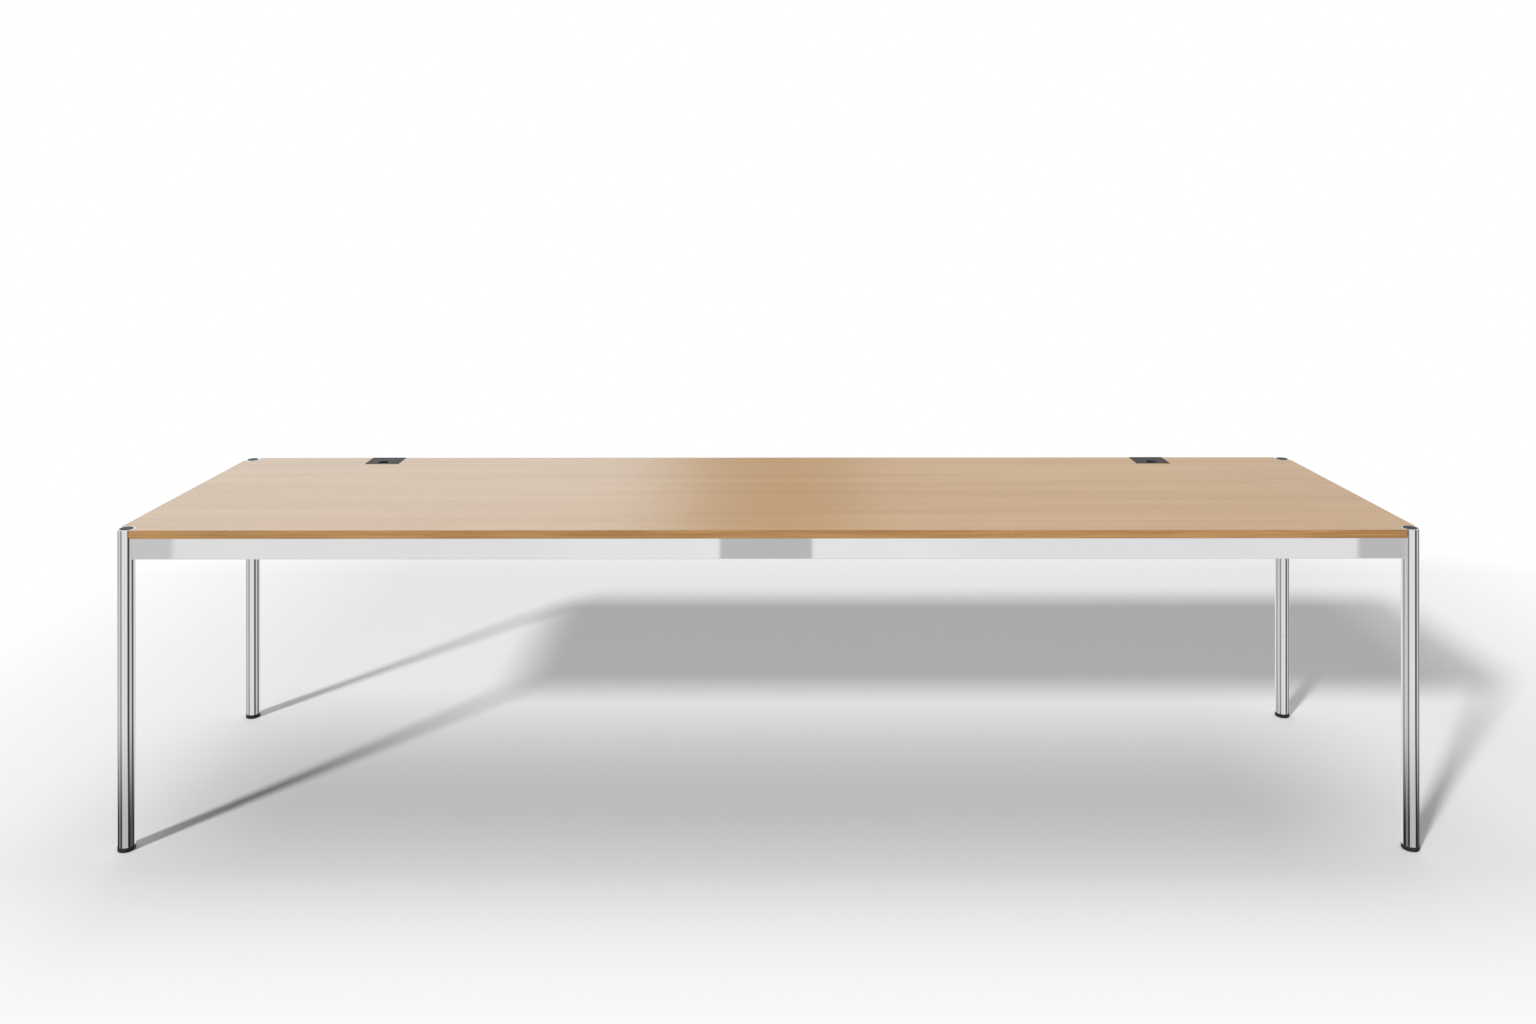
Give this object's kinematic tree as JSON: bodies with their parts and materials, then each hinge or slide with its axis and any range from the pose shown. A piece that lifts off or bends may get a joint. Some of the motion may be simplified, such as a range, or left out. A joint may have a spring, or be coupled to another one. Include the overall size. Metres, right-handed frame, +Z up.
{
  "type": "conference table",
  "caption": "Long rectangular meeting table with a wood-veneered top, round chromed legs, slim chromed rails, levelling feet and lidded cable ports at its back edge.",
  "frame": {"origin": "on the floor, under the middle of the table top", "axes": "+X along the length to the right, +Y to the back edge that holds the cable ports, +Z up"},
  "size_m": [3.004, 0.754, 0.7408],
  "materials": {
    "beech_veneer": "satin clear lacquer",
    "chrome": "polished chrome plate",
    "zinc_plate": "bright zinc plate",
    "grey_plastic": "fine moulded grain",
    "black_plastic": "matt moulded"
  },
  "bodies": {
    "table": {"table_top": "beech_veneer", "front_left_leg_tube": "chrome", "front_left_leg_cap": "grey_plastic", "front_left_leg_nut": "zinc_plate", "front_left_leg_bolt": "zinc_plate", "front_left_corner_bracket": "zinc_plate", "front_left_foot_insert": "zinc_plate", "front_left_bracket_screw": "zinc_plate", "front_right_leg_tube": "chrome", "front_right_leg_cap": "grey_plastic", "front_right_leg_nut": "zinc_plate", "front_right_leg_bolt": "zinc_plate", "front_right_corner_bracket": "zinc_plate", "front_right_foot_insert": "zinc_plate", "front_right_bracket_screw": "zinc_plate", "back_left_leg_tube": "chrome", "back_left_leg_cap": "grey_plastic", "back_left_leg_nut": "zinc_plate", "back_left_leg_bolt": "zinc_plate", "back_left_corner_bracket": "zinc_plate", "back_left_foot_insert": "zinc_plate", "back_left_bracket_screw": "zinc_plate", "back_right_leg_tube": "chrome", "back_right_leg_cap": "grey_plastic", "back_right_leg_nut": "zinc_plate", "back_right_leg_bolt": "zinc_plate", "back_right_corner_bracket": "zinc_plate", "back_right_foot_insert": "zinc_plate", "back_right_bracket_screw": "zinc_plate", "front_rail": "chrome", "back_rail": "chrome", "left_rail": "chrome", "right_rail": "chrome", "left_cross_rail": "zinc_plate", "left_cross_rail_front_top_screw": "zinc_plate", "left_cross_rail_front_end_screw": "zinc_plate", "left_cross_rail_back_top_screw": "zinc_plate", "left_cross_rail_back_end_screw": "zinc_plate", "left_port_frame": "grey_plastic", "left_port_hinge_pin": "zinc_plate", "right_cross_rail": "zinc_plate", "right_cross_rail_front_top_screw": "zinc_plate", "right_cross_rail_front_end_screw": "zinc_plate", "right_cross_rail_back_top_screw": "zinc_plate", "right_cross_rail_back_end_screw": "zinc_plate", "right_port_frame": "grey_plastic", "right_port_hinge_pin": "zinc_plate"},
    "front_left_foot": {"front_left_foot_stud": "zinc_plate", "front_left_foot_pad": "black_plastic"},
    "front_right_foot": {"front_right_foot_stud": "zinc_plate", "front_right_foot_pad": "black_plastic"},
    "back_left_foot": {"back_left_foot_stud": "zinc_plate", "back_left_foot_pad": "black_plastic"},
    "back_right_foot": {"back_right_foot_stud": "zinc_plate", "back_right_foot_pad": "black_plastic"},
    "left_lid": {"left_port_lid": "grey_plastic"},
    "right_lid": {"right_port_lid": "grey_plastic"}
  },
  "joints": [
    {"name": "front_left_foot_levelling", "type": "slide", "parent": "table", "child": "front_left_foot", "axis": [0, 0, -1], "range_m": [0, 0.015]},
    {"name": "front_right_foot_levelling", "type": "slide", "parent": "table", "child": "front_right_foot", "axis": [0, 0, -1], "range_m": [0, 0.015]},
    {"name": "back_left_foot_levelling", "type": "slide", "parent": "table", "child": "back_left_foot", "axis": [0, 0, -1], "range_m": [0, 0.015]},
    {"name": "back_right_foot_levelling", "type": "slide", "parent": "table", "child": "back_right_foot", "axis": [0, 0, -1], "range_m": [0, 0.015]},
    {"name": "left_lid_hinge", "type": "hinge", "parent": "table", "child": "left_lid", "pos_m": [-1.094, 0.3685, 0.7384], "axis": [-1, 0, 0], "range_deg": [0, 95]},
    {"name": "right_lid_hinge", "type": "hinge", "parent": "table", "child": "right_lid", "pos_m": [1.094, 0.3685, 0.7384], "axis": [-1, 0, 0], "range_deg": [0, 95]}
  ]
}
